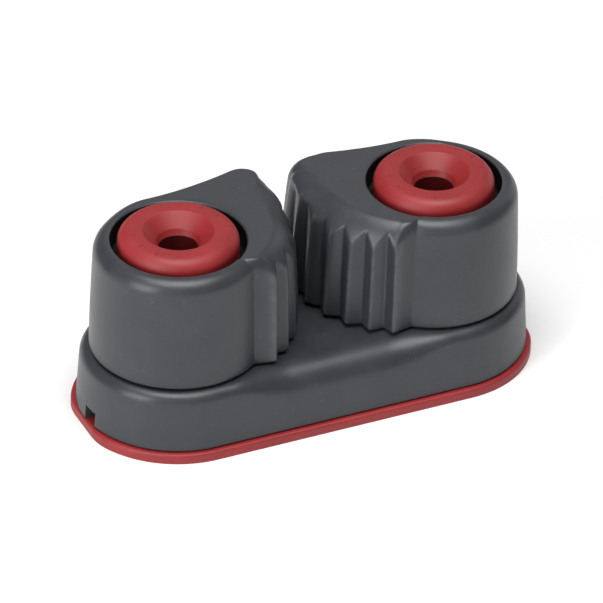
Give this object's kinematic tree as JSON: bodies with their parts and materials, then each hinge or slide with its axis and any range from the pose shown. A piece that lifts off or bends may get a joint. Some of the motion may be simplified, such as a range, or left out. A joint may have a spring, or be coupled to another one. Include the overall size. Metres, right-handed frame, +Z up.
{
  "type": "cam cleat",
  "caption": "Deck cam cleat: two spring-loaded toothed cams on ball bearings, on a base with two countersunk screw holes, that grip a rope pulled towards -Y.",
  "frame": {"origin": "centre of the base's underside, midway between the two screw holes", "axes": "+X along the row of screw holes, +Y to the side the cam noses point to (the rope is pulled towards -Y), +Z up out of the deck"},
  "size_m": [0.0654, 0.0286, 0.0284],
  "materials": {
    "cam_grey": "dark grey hard-anodised die casting, satin",
    "housing_grey": "dark grey hard-anodised die casting, satin",
    "red_nylon": "red glass-filled nylon, fine matte moulded surface",
    "white_acetal": "off-white acetal, smooth",
    "bearing_balls": "cream acetal bearing balls, polished",
    "spring_steel": "drawn stainless spring wire"
  },
  "bodies": {
    "root": {"base_plate": "red_nylon", "base_housing": "housing_grey", "post_left": "red_nylon", "cap_left": "red_nylon", "thrust_washer_lower_left": "white_acetal", "thrust_washer_upper_left": "white_acetal", "return_spring_left": "spring_steel", "post_right": "red_nylon", "cap_right": "red_nylon", "thrust_washer_lower_right": "white_acetal", "thrust_washer_upper_right": "white_acetal", "return_spring_right": "spring_steel"},
    "cam_left": {"cam_left": "cam_grey"},
    "cam_right": {"cam_right": "cam_grey"},
    "balls_left": {"balls_lower_left": "bearing_balls", "balls_middle_left": "bearing_balls", "balls_upper_left": "bearing_balls"},
    "balls_right": {"balls_lower_right": "bearing_balls", "balls_middle_right": "bearing_balls", "balls_upper_right": "bearing_balls"}
  },
  "joints": [
    {"name": "cam_left_pivot", "type": "hinge", "parent": "root", "child": "cam_left", "pos_m": [-0.01905, 0, 0.0169], "axis": [0, 0, 1], "range_deg": [0, 60], "stiffness_Nm_per_rad": 0.02, "springref_deg": -34.38, "deforming": ["return_spring_left"]},
    {"name": "balls_left_orbit", "type": "hinge", "parent": "root", "child": "balls_left", "pos_m": [-0.01905, 0, 0.0169], "axis": [0, 0, 1], "range_deg": [0, 36]},
    {"name": "cam_right_pivot", "type": "hinge", "parent": "root", "child": "cam_right", "pos_m": [0.01905, 0, 0.0169], "axis": [0, 0, -1], "range_deg": [0, 60], "stiffness_Nm_per_rad": 0.02, "springref_deg": -34.38, "deforming": ["return_spring_right"]},
    {"name": "balls_right_orbit", "type": "hinge", "parent": "root", "child": "balls_right", "pos_m": [0.01905, 0, 0.0169], "axis": [0, 0, -1], "range_deg": [0, 36]}
  ],
  "couplings": [
    {"joint": "balls_left_orbit", "follows": "cam_left_pivot", "ratio": 0.5875},
    {"joint": "balls_right_orbit", "follows": "cam_right_pivot", "ratio": 0.5875}
  ]
}
